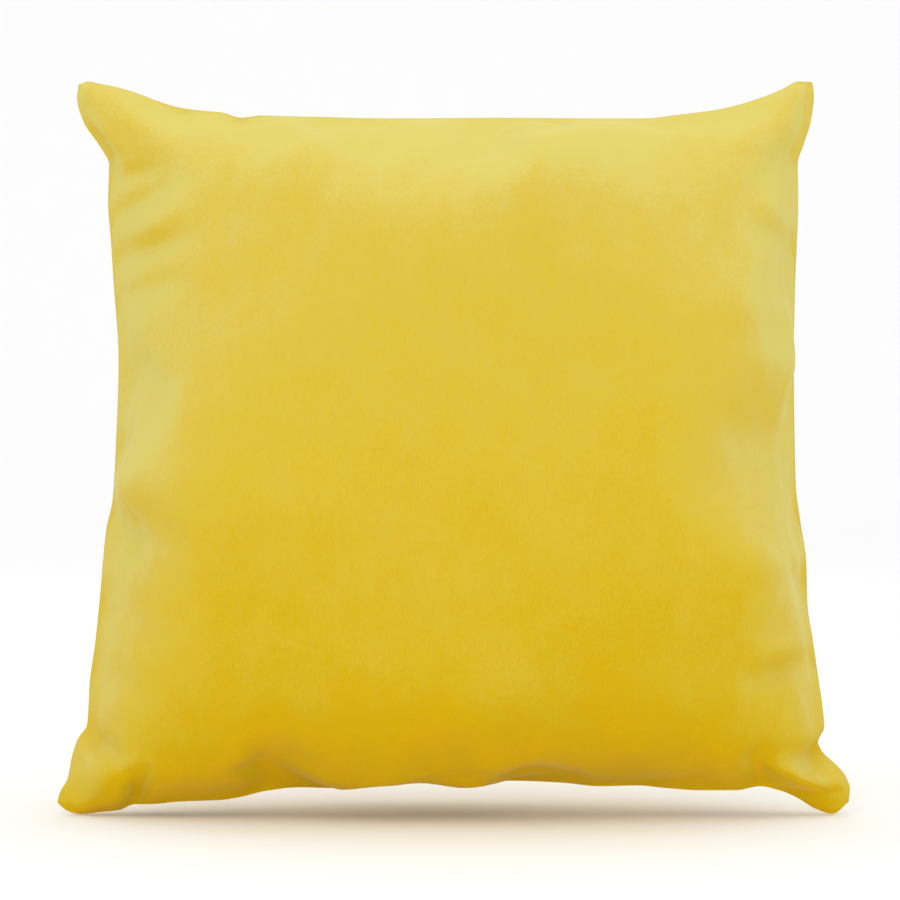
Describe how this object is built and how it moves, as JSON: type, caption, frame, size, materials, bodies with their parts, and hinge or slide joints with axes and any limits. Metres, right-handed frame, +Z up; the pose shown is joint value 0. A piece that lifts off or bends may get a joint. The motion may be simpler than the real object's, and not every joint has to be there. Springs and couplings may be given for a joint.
{
  "type": "throw pillow",
  "caption": "Square stuffed throw pillow: plain yellow velvet cover with a bottom-seam zip over a sewn, fibre-filled insert.",
  "frame": {"origin": "on the floor, midway between the two lower corners that the pillow stands on, in the plane of its seam", "axes": "+Z up from the zipped bottom seam to the top seam, +X to the right along the width, -Y out of the front face"},
  "size_m": [0.4396, 0.162, 0.407],
  "materials": {
    "velvet": "matte",
    "thread": "satin",
    "label_satin": "satin",
    "zip_tape": "matte",
    "zip_nylon": "satin",
    "slider_metal": "satin",
    "insert_cotton": "matte",
    "insert_thread": "satin",
    "fibre": "matte"
  },
  "bodies": {
    "pillow": {"cover_front_panel": "velvet", "cover_back_panel": "velvet", "cover_seam_thread": "thread", "cover_overlock_thread": "thread", "care_label": "label_satin", "zip_tape_front": "zip_tape", "zip_tape_back": "zip_tape", "zip_coil_front": "zip_nylon", "zip_coil_back": "zip_nylon", "zip_top_stops": "zip_nylon", "zip_bottom_stop": "zip_nylon", "zip_stitching_front": "thread", "zip_stitching_back": "thread", "insert_front_panel": "insert_cotton", "insert_back_panel": "insert_cotton", "insert_seam_thread": "insert_thread", "insert_closing_thread": "insert_thread", "insert_label": "label_satin", "fibre_fill": "fibre"},
    "slider": {"zip_slider": "slider_metal"},
    "pull_tab": {"zip_pull_tab": "slider_metal"}
  },
  "joints": [
    {"name": "zip_slide", "type": "slide", "parent": "pillow", "child": "slider", "axis": [1, 0, 0], "range_m": [-0.289, 0], "deforming": ["zip_coil_front", "zip_coil_back", "zip_tape_front", "zip_tape_back"]},
    {"name": "tab_swing", "type": "hinge", "parent": "slider", "child": "pull_tab", "pos_m": [0.145, 0, 0.02055], "axis": [0, -1, 0], "range_deg": [0, 180]}
  ]
}
